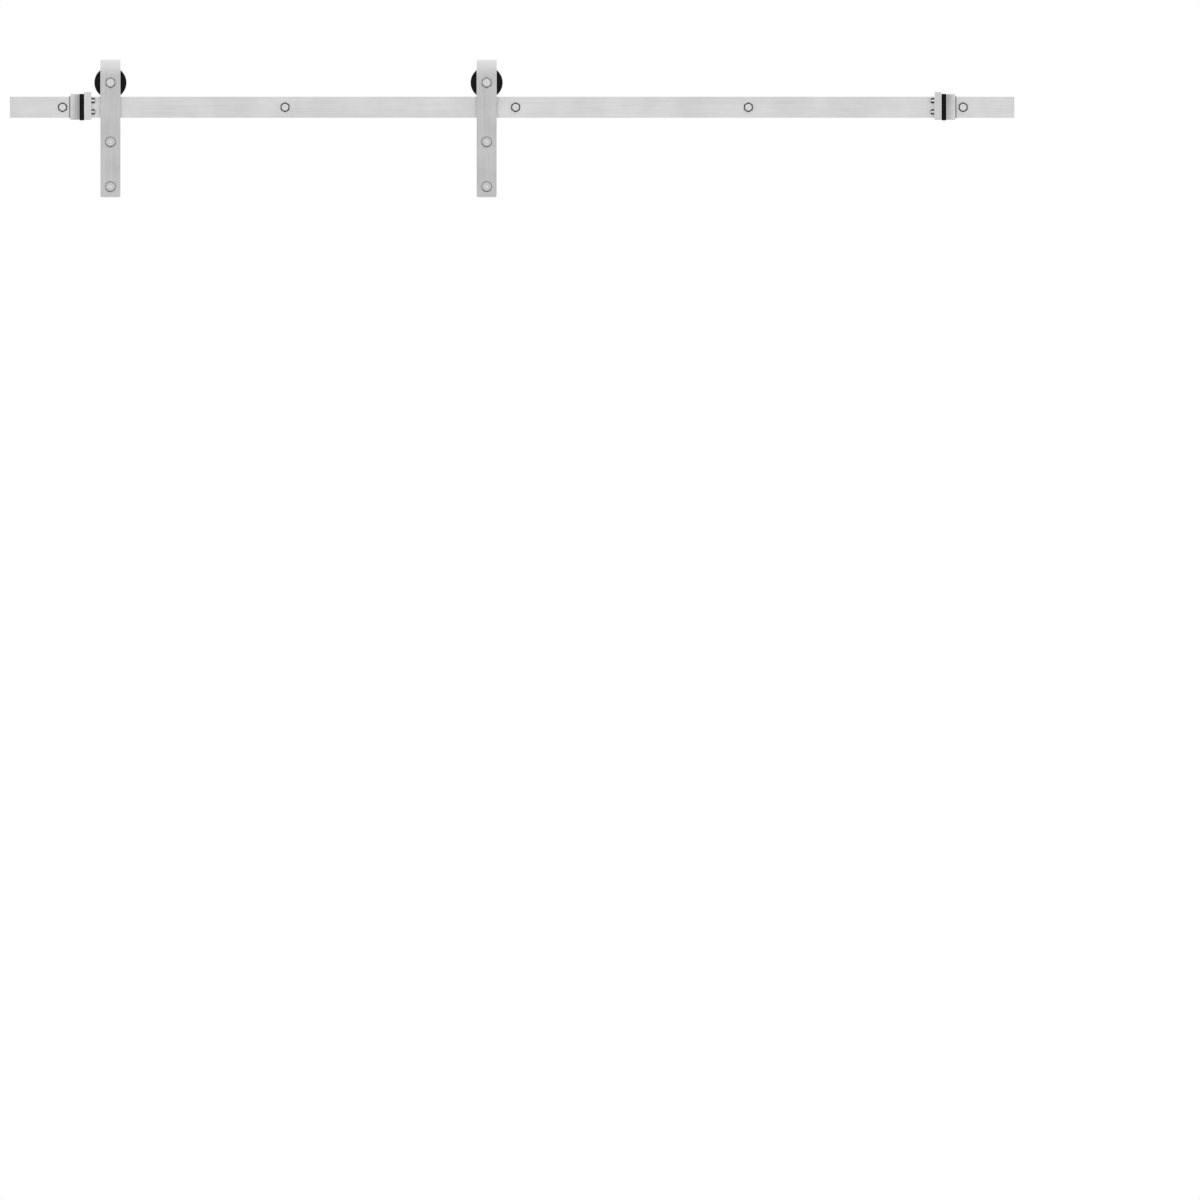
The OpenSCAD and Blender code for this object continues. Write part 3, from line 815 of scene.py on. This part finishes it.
# %% [markdown]
# ## End stops
# A stop is a steel block that clamps the rail, a rubber buffer and a steel strike plate, drawn together
# by two cap screws that point at the door. A rubber sleeve between stop and rail shows as a thin lip.
# Each slice is a block with a window cut for the sleeve, and the rubber one swells a little between its
# neighbours round a mould line.

# %% Stop sizes
WINDOW_HALF_Y = 4.03 * MM
WINDOW_HALF_Z = 22.03 * MM
RAIL_GRIP_Y = 3.03 * MM
RAIL_GRIP_Z = 21.03 * MM
CAP_R = 5 * MM
CAP_SHANK_R = 3 * MM
CAP_SOCKET = 5 * MM
CAP_HEAD = 7 * MM
SET_R = 2.5 * MM
SET_SOCKET = 2.5 * MM
SET_SHARES = (0.28, 0.72)


def cut_window(piece, low, high, half_y, half_z):
    corner = Vector((OVER, half_y, half_z))
    window_low = Vector((low.x, rail_mid_y, 0)) - corner
    window_high = Vector((high.x, rail_mid_y, 0)) + corner
    cut(piece, add_block(window_low, window_high))


def cap_screw_axes(side):
    low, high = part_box("%s_stop_cap_screws" % side)
    y = (low.y + high.y) / 2
    return [Vector((0, y, low.z + CAP_R)), Vector((0, y, high.z - CAP_R))]


def stop_slice(side, node, ease, screw_play):
    low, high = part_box(node)
    piece = add_block(low, high)
    ease_edges(piece, ease, 3)
    cut_window(piece, low, high, WINDOW_HALF_Y, WINDOW_HALF_Z)
    screws_low, screws_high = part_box("%s_stop_cap_screws" % side)
    for centre in cap_screw_axes(side):
        start = max(low.x - OVER, screws_low.x - OVER)
        end = min(high.x + OVER, screws_high.x + OVER)
        cut(piece, add_bar(centre, "X", CAP_SHANK_R + screw_play, start, end, 48))
    return piece


def swell(piece, low, high, amount):
    middle_x = (low.x + high.x) / 2
    for share in (0.25, 0.46, 0.54, 0.75):
        edit(piece)
        bpy.ops.mesh.select_all(action="SELECT")
        cut_at = Vector((low.x + (high.x - low.x) * share, 0, 0))
        bpy.ops.mesh.bisect(plane_co=cut_at, plane_no=(1, 0, 0))
    bpy.ops.object.mode_set(mode="OBJECT")
    centre_y = (low.y + high.y) / 2
    centre_z = (low.z + high.z) / 2
    for corner in piece.data.vertices:
        inside_y = abs(corner.co.y - rail_mid_y) < WINDOW_HALF_Y + OVER
        inside_z = abs(corner.co.z) < WINDOW_HALF_Z + 0.5 * MM
        off_middle = abs(corner.co.x - middle_x) / (high.x - low.x) * 2
        if not (inside_y and inside_z) and off_middle < 0.9:
            lift = amount * (1.35 if off_middle < 0.1 else 1.0)
            corner.co.y += math.copysign(lift, corner.co.y - centre_y)


# %% Stop slices
def make_stop(side):
    node = "%s_stop_" % side
    block = stop_slice(side, node + "block", 1.1 * MM, 0.03 * MM)
    block_low, block_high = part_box(node + "block")
    set_low, set_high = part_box(node + "set_screws")
    set_axes = [
        Vector((set_low.x + SET_R, rail_mid_y, 0)),
        Vector((set_high.x - SET_R, rail_mid_y, 0)),
    ]
    for centre in set_axes:
        cut(block, add_bar(centre, "Z", SET_R + 0.03 * MM, WINDOW_HALF_Z - OVER, block_high.z + OVER, 40))
    rubber_x = block_high.x if side == "left" else block_low.x
    mark_axis(block, Vector((rubber_x, rail_mid_y, 0)), "X")
    shade(block)
    stand_for(block, side + "_clamp_block", "satin_stainless", block_finishes[side], node + "block")
    strike = stop_slice(side, node + "strike", 0.9 * MM, 0.25 * MM)
    shade(strike)
    stand_for(strike, side + "_strike_plate", "satin_stainless", strike_finish, node + "strike")
    buffer_low, buffer_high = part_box(node + "buffer")
    inset = Vector((0, 0.3 * MM, 0))
    buffer = add_block(buffer_low + inset, buffer_high - inset)
    ease_edges(buffer, 1.1 * MM, 4)
    swell(buffer, buffer_low, buffer_high, 0.2 * MM)
    cut_window(buffer, buffer_low, buffer_high, WINDOW_HALF_Y, WINDOW_HALF_Z)
    shade(buffer)
    stand_for(buffer, side + "_rubber_buffer", "black_rubber", rubber, node + "buffer")
    sleeve_low, sleeve_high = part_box(node + "sleeve")
    sleeve = add_block(sleeve_low, sleeve_high)
    cut_window(sleeve, sleeve_low, sleeve_high, RAIL_GRIP_Y, RAIL_GRIP_Z)
    ease_edges(sleeve, 0.25 * MM, 3)
    shade(sleeve)
    stand_for(sleeve, side + "_rubber_sleeve", "black_rubber", rubber, node + "sleeve")
    return set_axes


stop_set_axes = {side: make_stop(side) for side in ("left", "right")}

# %% [markdown]
# ## Cap and set screws
# Cap screws have a round head with a straight knurl for the fingers and a hexagon socket for the key.
# The knurl is a wave round the head, with four mesh points to each tooth. Set screws are short threaded
# plugs with a socket, sunk level with the block's top, where their cup points bite on the rail's edge.

# %% Small stop screws
KNURL_TEETH = 36


def knurl(piece, centre, radius, start, end, depth):
    for corner in piece.data.vertices:
        offset = corner.co - centre
        offset.x = 0
        if start < corner.co.x < end and offset.length > radius - 0.2 * MM:
            tooth = 0.5 - 0.5 * math.cos(KNURL_TEETH * math.atan2(offset.y, offset.z))
            corner.co = corner.co - offset.normalized() * depth * tooth


def make_cap_screw(side, centre):
    low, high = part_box("%s_stop_cap_screws" % side)
    strike_low, strike_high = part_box("%s_stop_strike" % side)
    inward = 1 if side == "left" else -1
    seat = strike_high.x if side == "left" else strike_low.x
    tail = low.x if side == "left" else high.x
    face = seat + inward * CAP_HEAD
    rim = 0.7 * MM
    outline = [(0, tail), (CAP_SHANK_R - 0.5 * MM, tail), (CAP_SHANK_R, tail + inward * 0.5 * MM)]
    outline += [(CAP_SHANK_R, seat), (CAP_R - 0.2 * MM, seat), (CAP_R, seat + inward * 0.2 * MM)]
    outline += [(CAP_R, seat + inward * 1.3 * MM), (CAP_R, face - inward * 1.5 * MM), (CAP_R, face - inward * rim)]
    outline += [(CAP_R - rim * 0.3, face - inward * rim * 0.3), (CAP_R - rim, face), (0, face)]
    screw = turn(centre, "X", outline, KNURL_TEETH * 4)
    knurl_ends = sorted((seat + inward * 1.2 * MM, face - inward * 1.4 * MM))
    knurl(screw, centre, CAP_R, knurl_ends[0], knurl_ends[1], 0.16 * MM)
    socket_cut(screw, centre, "X", CAP_SOCKET, face, face - inward * 3.5 * MM)
    mark_axis(screw, centre, "X")
    return screw


def make_set_screw(side, centre):
    low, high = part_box("%s_stop_set_screws" % side)
    outline = [
        (0, low.z + 0.8 * MM), (1.2 * MM, low.z), (1.7 * MM, low.z), (SET_R - 0.05 * MM, low.z + 0.8 * MM),
        (SET_R - 0.05 * MM, high.z - 0.6 * MM), (SET_R - 0.5 * MM, high.z - 0.1 * MM), (0, high.z - 0.1 * MM),
    ]
    screw = turn(centre, "Z", outline, 48)
    socket_cut(screw, centre, "Z", SET_SOCKET, high.z - 0.1 * MM, high.z - 2.5 * MM)
    mark_axis(screw, centre, "Z")
    return screw


for side in ("left", "right"):
    caps = join(*[make_cap_screw(side, centre) for centre in cap_screw_axes(side)])
    shade(caps, 35)
    stand_for(caps, side + "_cap_screw_pair", "screw_stainless", cap_screw_finish, side + "_stop_cap_screws")
    sets = join(*[make_set_screw(side, centre) for centre in stop_set_axes[side]])
    shade(sets, 35)
    stand_for(sets, side + "_set_screw_pair", "screw_stainless", set_screw_finish, side + "_stop_set_screws")

# %% [markdown]
# ## Bent straps
# A strap is flat bar folded over the roller. The front leg is a block whose top face is spun half a turn
# about the bend's centre, as round a former, and then extruded down as the rear leg. The rear end is
# rounded about the axle by a bevel as wide as half the bar. Drilled holes and broken edges come last.

# %% Strap
STRAP_T = 6 * MM
BEND_R = 15 * MM
BEND_STEPS = 32
CORNER_R = 3 * MM
AXLE_HOLE_R = 6.25 * MM
SEAT_R = 8.95 * MM
SEAT_DEPTH = 0.5 * MM
sides = ("left", "right")


def make_strap(side):
    low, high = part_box(side + "_strap")
    axle = middle(side + "_axle_bolt")
    bend_z = high.z - BEND_R - STRAP_T
    leg_high = Vector((high.x, low.y + STRAP_T, bend_z))
    strap = add_block(low, leg_high)
    edit(strap)
    pick(strap, "FACE", lambda face: face.normal.z > 0.9)
    bpy.ops.mesh.spin(
        steps=BEND_STEPS, angle=math.radians(180), center=(0, rail_mid_y, bend_z), axis=(1, 0, 0)
    )
    width = high.x - low.x
    drop = Vector((0, 0, axle.z - width / 2 - bend_z))
    bpy.ops.mesh.extrude_region_move(TRANSFORM_OT_translate={"value": drop})
    pick(strap, "FACE", lambda face: face.calc_center_median().y < rail_mid_y and abs(face.normal.z) > 0.9
         and abs(face.calc_center_median().z - bend_z) < 0.01 * MM)
    bpy.ops.mesh.delete(type="ONLY_FACE")
    round_corners(strap, low.z, CORNER_R, 6)
    round_corners(strap, bend_z + drop.z, width / 2 - 0.001 * MM, 24)
    bpy.ops.mesh.select_all(action="SELECT")
    bpy.ops.mesh.remove_doubles(threshold=0.004 * MM)
    bpy.ops.mesh.normals_make_consistent(inside=False)
    bpy.ops.object.mode_set(mode="OBJECT")
    ease_edges(strap, 0.45 * MM, 3)
    centre = Vector((axle.x, 0, axle.z))
    cut(strap, add_bar(centre, "Y", AXLE_HOLE_R, low.y - OVER, high.y + OVER))
    seats = (low.y + STRAP_T - SEAT_DEPTH, high.y - STRAP_T + SEAT_DEPTH)
    cut(strap, add_bar(centre, "Y", SEAT_R, seats[0], seats[1]))
    for place in ("upper", "lower"):
        centre = axis_of("%s_door_screw_%s" % (side, place))
        cut(strap, add_bar(centre, "Y", HOLE_R, low.y - OVER, low.y + STRAP_T + OVER))
    shade(strap)
    return strap


def round_corners(strap, z, radius, segments):
    pick(strap, "EDGE", lambda edge: all(abs(corner.co.z - z) < 0.01 * MM for corner in edge.verts)
         and abs(edge.verts[0].co.x - edge.verts[1].co.x) < 0.01 * MM)
    bpy.ops.mesh.bevel(offset=radius, segments=segments, affect="EDGES")


left_strap = make_strap("left")
hanger_step = middle("right_strap") - middle("left_strap")
right_strap = copy_to(left_strap, hanger_step)
for side, strap in zip(sides, (left_strap, right_strap)):
    stand_for(strap, side + "_bent_strap", "brushed_stainless", strap_finish, side + "_strap")


def for_both(piece, name, slot, finish, node):
    twin = copy_to(piece, hanger_step)
    for side, made in zip(sides, (piece, twin)):
        stand_for(made, "%s_%s" % (side, name), slot, finish, "%s_%s" % (side, node))


# %% [markdown]
# ## Axle
# The axle is a hexagon-head bolt through both legs of the strap, with a washer and a nut at the back
# and a bush on each side of the bearing. It doesn't turn: the roller runs on the ball bearing.

# %% Axle pieces
AXLE_AF = 19 * MM
AXLE_R = 6 * MM
AXLE_THREAD_R = 5.6 * MM
AXLE_PITCH = 1.75 * MM
bolt_low, bolt_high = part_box("left_axle_bolt")
strap_low, strap_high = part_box("left_strap")
nut_low, nut_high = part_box("left_axle_nut")
axle = middle("left_axle_bolt")
axle.y = 0
bolt_outline = [
    (0, strap_low.y - 3 * MM), (AXLE_R, strap_low.y - 3 * MM), (AXLE_R, strap_high.y - 0.4 * MM),
    (AXLE_THREAD_R, strap_high.y), (AXLE_THREAD_R, bolt_high.y - 0.9 * MM),
    (AXLE_THREAD_R - 0.9 * MM, bolt_high.y), (0, bolt_high.y),
]
bolt_rows = 60
bolt = turn(axle, "Y", bolt_outline, 60, [(strap_high.y, bolt_high.y - 0.9 * MM, bolt_rows)])
cut_thread(bolt, axle, strap_high.y, bolt_high.y, AXLE_PITCH, 0.86, 0.8 * MM)
bolt_head = hexagon_head(axle, AXLE_AF, bolt_low.y, strap_low.y)
cut(bolt_head, bolt, "UNION")
mark_axis(bolt_head, axle, "Y")
shade(bolt_head, 30)
for_both(bolt_head, "axle_hex_bolt", "screw_stainless", bolt_finish, "axle_bolt")

nut = hexagon_head(axle, AXLE_AF, nut_low.y, nut_high.y, both_ends=True)
cut(nut, add_bar(axle, "Y", AXLE_THREAD_R + 0.03 * MM, nut_low.y - OVER, nut_high.y + OVER))
sink = [(0, nut_high.y - 0.8 * MM), (AXLE_THREAD_R, nut_high.y - 0.8 * MM)]
sink += [(AXLE_THREAD_R + 1.2 * MM, nut_high.y + 0.4 * MM), (0, nut_high.y + 0.4 * MM)]
cut(nut, turn(axle, "Y", sink, 96))
mark_axis(nut, axle, "Y")
shade(nut, 30)
for_both(nut, "axle_hex_nut", "screw_stainless", bolt_finish, "axle_nut")

# %% Washer and bushes
BUSH_BORE = 6.03 * MM
low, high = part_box("left_axle_washer")
axle_washer = turned_ring(axle, "Y", AXLE_HOLE_R, (high.x - low.x) / 2, low.y, high.y, 0.25 * MM)
for_both(axle_washer, "axle_plain_washer", "screw_stainless", washer_finish, "axle_washer")
for place in ("front", "rear"):
    low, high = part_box("left_%s_bush" % place)
    bush = turned_ring(axle, "Y", BUSH_BORE, (high.x - low.x) / 2, low.y, high.y, 0.35 * MM)
    for_both(bush, place + "_spacing_bush", "turned_stainless", spacer_finish, place + "_bush")

# %% [markdown]
# ## Bearing
# A deep-groove bearing has two ground rings with a round track between them, seven balls, a cage, and a
# thin steel shield at each side that keeps dust out. Its rings are turned outlines whose track is an
# arc. The balls and the cage keep their CAD shapes and only get a finish.

# %% Bearing
INNER_R = 8.6 * MM
OUTER_R = 13.4 * MM
TRACK_R = 3.275 * MM
TRACK_CENTRE_R = 11 * MM
race_low, race_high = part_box("left_inner_race")
outer_low, outer_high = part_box("left_outer_race")
shield_low, shield_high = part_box("left_bearing_shields")
track_reach = math.degrees(math.acos((TRACK_CENTRE_R - INNER_R) / TRACK_R))
ease = 0.3 * MM

inner_outline = [(BUSH_BORE + ease, race_low.y), (INNER_R - ease, race_low.y), (INNER_R, race_low.y + ease)]
inner_outline += arc(TRACK_CENTRE_R, rail_mid_y, TRACK_R, 180 + track_reach, 180 - track_reach, 16)
inner_outline += [(INNER_R, race_high.y - ease), (INNER_R - ease, race_high.y)]
inner_outline += [(BUSH_BORE + ease, race_high.y), (BUSH_BORE, race_high.y - ease)]
inner_outline += [(BUSH_BORE, race_low.y + ease), (BUSH_BORE + ease, race_low.y)]
inner = turn(axle, "Y", inner_outline, 96)
mark_axis(inner, axle, "Y")
shade(inner, 30)
for_both(inner, "ground_inner_race", "bearing_steel", race_finish, "inner_race")

race_r = (outer_high.x - outer_low.x) / 2
shield_r = (shield_high.x - shield_low.x) / 2 + 0.03 * MM
seat = shield_low.y - outer_low.y + 0.5 * MM
outer_outline = [(shield_r, outer_low.y), (race_r - 2 * ease, outer_low.y), (race_r, outer_low.y + 2 * ease)]
outer_outline += [(race_r, outer_high.y - 2 * ease), (race_r - 2 * ease, outer_high.y)]
outer_outline += [(shield_r, outer_high.y), (shield_r, outer_high.y - seat), (OUTER_R, outer_high.y - seat)]
outer_outline += arc(TRACK_CENTRE_R, rail_mid_y, TRACK_R, track_reach, -track_reach, 16)
outer_outline += [(OUTER_R, outer_low.y + seat), (shield_r, outer_low.y + seat), (shield_r, outer_low.y)]
outer = turn(axle, "Y", outer_outline, 96)
mark_axis(outer, axle, "Y")
shade(outer, 30)
for_both(outer, "ground_outer_race", "bearing_steel", race_finish, "outer_race")


# %% Shields
def make_shield(face, inward):
    back = face + inward * 0.5 * MM
    step = inward * 0.15 * MM
    edge = shield_r - 0.03 * MM
    hole = INNER_R + 0.3 * MM
    outline = [(hole, face + step), (hole + 0.8 * MM, face + step), (hole + 1.1 * MM, face), (edge - 0.2 * MM, face)]
    outline += [(edge, face + step), (edge, back), (hole, back), (hole, face + step)]
    return turn(axle, "Y", outline, 96)


shields = join(make_shield(shield_low.y, 1), make_shield(shield_high.y, -1))
mark_axis(shields, axle, "Y")
shade(shields, 30)
for_both(shields, "pressed_shields", "shield_steel", shield_finish, "bearing_shields")
for side in sides:
    for part, finish in (("_bearing_balls", balls), ("_ball_cage", cage)):
        node = frame["nodes"][side + part]
        node.data.materials.clear()
        node.data.materials.append(finish)
print("balls and cage finished")

# %% [markdown]
# ## Grooved rollers
# The roller is turned from black nylon bar: a groove with filleted corners that straddles the rail, a
# rounded rim, and a shallow dish in each face. It is one outline spun about the axle. The bearing sits
# against a shoulder, pressed in from the front.

# %% Roller
TREAD_R = 27.7 * MM
GROOVE_HALF = 3.8 * MM
GROOVE_FLARE = 1.6 * MM
BORE_R = 16.03 * MM
SHOULDER_R = 13.5 * MM
SHOULDER_W = 6 * MM
RIM_ROUND = 1.1 * MM
DISH_INNER = 19.5 * MM
DISH_OUTER = 28 * MM
DISH_DEPTH = 1.1 * MM
roller_low, roller_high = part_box("left_roller")
rim_r = (roller_high.x - roller_low.x) / 2


def roller_face(face, inward, bore):
    floor_at = face + inward * DISH_DEPTH
    slope = 1.0 * MM
    points = [(bore, face + inward * 0.4 * MM), (bore + 0.4 * MM, face), (DISH_INNER, face)]
    points += [(DISH_INNER + slope * 0.3, face + inward * 0.1 * MM), (DISH_INNER + slope, floor_at)]
    points += [(DISH_OUTER - slope, floor_at), (DISH_OUTER - slope * 0.3, face + inward * 0.1 * MM)]
    points += [(DISH_OUTER, face), (rim_r - RIM_ROUND, face)]
    turns = [math.radians(90 * i / 5) for i in range(1, 6)]
    for a in turns:
        points.append((rim_r - RIM_ROUND * (1 - math.sin(a)), face + inward * RIM_ROUND * (1 - math.cos(a))))
    lip = rail_mid_y - inward * (GROOVE_HALF + GROOVE_FLARE)
    points += [(rim_r, lip - inward * 0.5 * MM), (rim_r - 0.15 * MM, lip - inward * 0.12 * MM)]
    points += [(rim_r - 0.5 * MM, lip + inward * 0.12 * MM)]
    points += [(TREAD_R + 0.5 * MM, rail_mid_y - inward * (GROOVE_HALF + 0.18 * MM))]
    points += [(TREAD_R + 0.12 * MM, rail_mid_y - inward * (GROOVE_HALF - 0.12 * MM))]
    points += [(TREAD_R, rail_mid_y - inward * (GROOVE_HALF - 0.5 * MM))]
    return points


front_points = roller_face(roller_low.y, 1, BORE_R)
back_points = roller_face(roller_high.y, -1, SHOULDER_R)
shoulder_y = roller_high.y - SHOULDER_W
roller_outline = front_points + back_points[::-1]
roller_outline += [(SHOULDER_R, shoulder_y), (BORE_R, shoulder_y), front_points[0]]
roller = turn(axle, "Y", roller_outline, 144)
centre = Vector((axle.x, rail_mid_y, axle.z))
mark_axis(roller, centre, "Y")
shade(roller, 30)
for_both(roller, "grooved_roller", "black_nylon", nylon_finish(TREAD_R, GROOVE_HALF), "roller")

# %% [markdown]
# ## Door screws
# The door hangs on two round-headed screws through each strap. The head is domed, with a key socket in
# a shallow ring, and the thread behind it is cut for wood like the wall screws'. One is modelled, and
# the other three are copies.

# %% Door screws
DOOR_HEAD_H = 6 * MM
DOOR_DOME = 2.7 * MM
DOOR_SOCKET = 8 * MM
DOOR_SHANK_R = 5 * MM
DOOR_THREAD_R = 4.75 * MM
DOOR_POINT = 5 * MM
DOOR_PITCH = 3.6 * MM
door_low, door_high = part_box("left_door_screw_upper")
door_axis = axis_of("left_door_screw_upper")
head_r = (door_high.x - door_low.x) / 2
head_front = door_low.y
head_back = head_front + DOOR_HEAD_H
shank_end = strap_low.y + STRAP_T
thread_end = door_high.y - DOOR_POINT
flat_r = head_r - DOOR_DOME
ring_r = flat_r - 0.9 * MM
door_outline = [(0, head_front), (ring_r - 0.5 * MM, head_front), (ring_r - 0.15 * MM, head_front + 0.25 * MM)]
door_outline += [(ring_r + 0.15 * MM, head_front + 0.25 * MM), (ring_r + 0.5 * MM, head_front)]
for i in range(9):
    a = math.radians(90 * i / 8)
    door_outline.append((flat_r + DOOR_DOME * math.sin(a), head_front + DOOR_DOME * (1 - math.cos(a))))
door_outline += [(head_r, head_back - 0.5 * MM), (head_r - 0.4 * MM, head_back), (DOOR_SHANK_R, head_back)]
door_outline += [(DOOR_SHANK_R, shank_end - 0.4 * MM), (DOOR_THREAD_R, shank_end), (DOOR_THREAD_R, thread_end)]
door_outline += [(0.6 * MM, door_high.y), (0, door_high.y)]
rows = round((thread_end - shank_end) / DOOR_PITCH * LAG_ROWS)
tip_rows = round(DOOR_POINT / DOOR_PITCH * LAG_ROWS)
door_screw = turn(door_axis, "Y", door_outline, 72, [
    (shank_end, thread_end, rows), (thread_end, door_high.y, tip_rows),
])
cut_thread(door_screw, door_axis, shank_end, door_high.y - 0.1 * MM, DOOR_PITCH, 0.72, 3 * MM)
socket_cut(door_screw, door_axis, "Y", DOOR_SOCKET, head_front, head_front + 3.6 * MM)
mark_axis(door_screw, door_axis, "Y")
shade(door_screw, 30)
lower = copy_to(door_screw, axis_of("left_door_screw_lower") - door_axis)
for_both(door_screw, "round_screw_upper", "screw_stainless", door_screw_finish, "door_screw_upper")
for_both(lower, "round_screw_lower", "screw_stainless", door_screw_finish, "door_screw_lower")

# %% [markdown]
# ## Sizes and finish
# The visual model's box is printed in millimetres. The visual model has to stay within the CAD
# model's box.

# %% Sizes and finish
low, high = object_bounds()
print("visual box in mm:", [round(side / MM, 2) for side in high - low])
